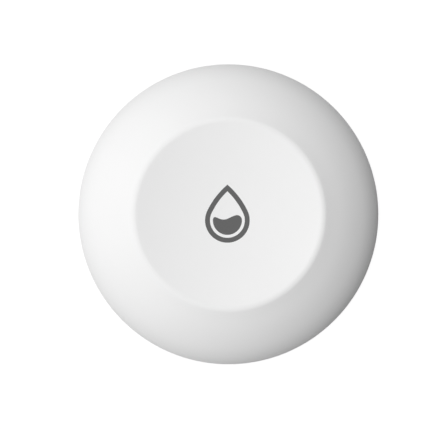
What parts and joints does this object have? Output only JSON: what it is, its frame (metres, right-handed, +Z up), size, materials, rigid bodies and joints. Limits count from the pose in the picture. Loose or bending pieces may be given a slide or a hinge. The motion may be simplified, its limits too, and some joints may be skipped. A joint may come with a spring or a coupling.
{
  "type": "water leak sensor",
  "caption": "Round white puck-shaped water leak sensor with a concave push-button top, steel probe contacts underneath and a twist-off coin-cell cover.",
  "frame": {"origin": "on the floor plane, on the housing's vertical axis", "axes": "+Z up out of the dish, +Y towards the tip of the drop symbol, +X along the line of the probes"},
  "size_m": [0.05, 0.05, 0.015],
  "materials": {
    "shell_white": "fine matte moulded",
    "dish_white": "fine matte moulded",
    "flex_white": "matte soft elastomer",
    "symbol_grey": "matte print",
    "base_white": "spark-eroded matte",
    "gasket_grey": "matte silicone",
    "seal_black": "satin rubber",
    "foam_grey": "open foam",
    "cell_steel": "satin nickel plate",
    "holder_black": "matte moulded",
    "contact_bronze": "bright strip",
    "board_green": "solder mask",
    "screw_steel": "plated",
    "switch_black": "matte moulded",
    "tin": "tinned",
    "antenna_ivory": "fired body",
    "chip_black": "moulded package",
    "capacitor_tan": "fired body",
    "led_clear": "cast resin",
    "probe_steel": "turned stainless",
    "post_brass": "turned"
  },
  "bodies": {
    "housing": {"top_shell": "shell_white", "flex_ring": "flex_white", "base_shell": "base_white", "case_gasket": "gasket_grey", "coin_cell": "cell_steel", "cell_holder": "holder_black", "positive_contact": "contact_bronze", "negative_contact": "contact_bronze", "circuit_board": "board_green", "board_screws": "screw_steel", "switch_body": "switch_black", "switch_legs": "tin", "radio_board": "board_green", "radio_shield": "tin", "chip_antenna": "antenna_ivory", "controller_chip": "chip_black", "crystal": "tin", "capacitors": "capacitor_tan", "status_led": "led_clear", "probe_screws": "probe_steel", "probe_posts": "post_brass", "probe_seals": "seal_black"},
    "button": {"button_dish": "dish_white", "drop_outline": "symbol_grey", "drop_water": "symbol_grey"},
    "stem": {"switch_stem": "switch_black"},
    "cover": {"battery_cover": "base_white", "cover_seal": "seal_black", "cell_pad": "foam_grey"}
  },
  "joints": [
    {"name": "button_press", "type": "slide", "parent": "housing", "child": "button", "axis": [0, 0, -1], "range_m": [0, 0.0003], "stiffness_N_per_m": 4000, "deforming": ["flex_ring"]},
    {"name": "stem_press", "type": "slide", "parent": "housing", "child": "stem", "axis": [0, 0, -1], "range_m": [0, 0.0003]},
    {"name": "cover_twist", "type": "hinge", "parent": "housing", "child": "cover", "pos_m": [0, 0, 0.0005], "axis": [0, 0, -1], "range_deg": [0, 35]}
  ],
  "couplings": [
    {"joint": "stem_press", "follows": "button_press", "ratio": 1}
  ]
}
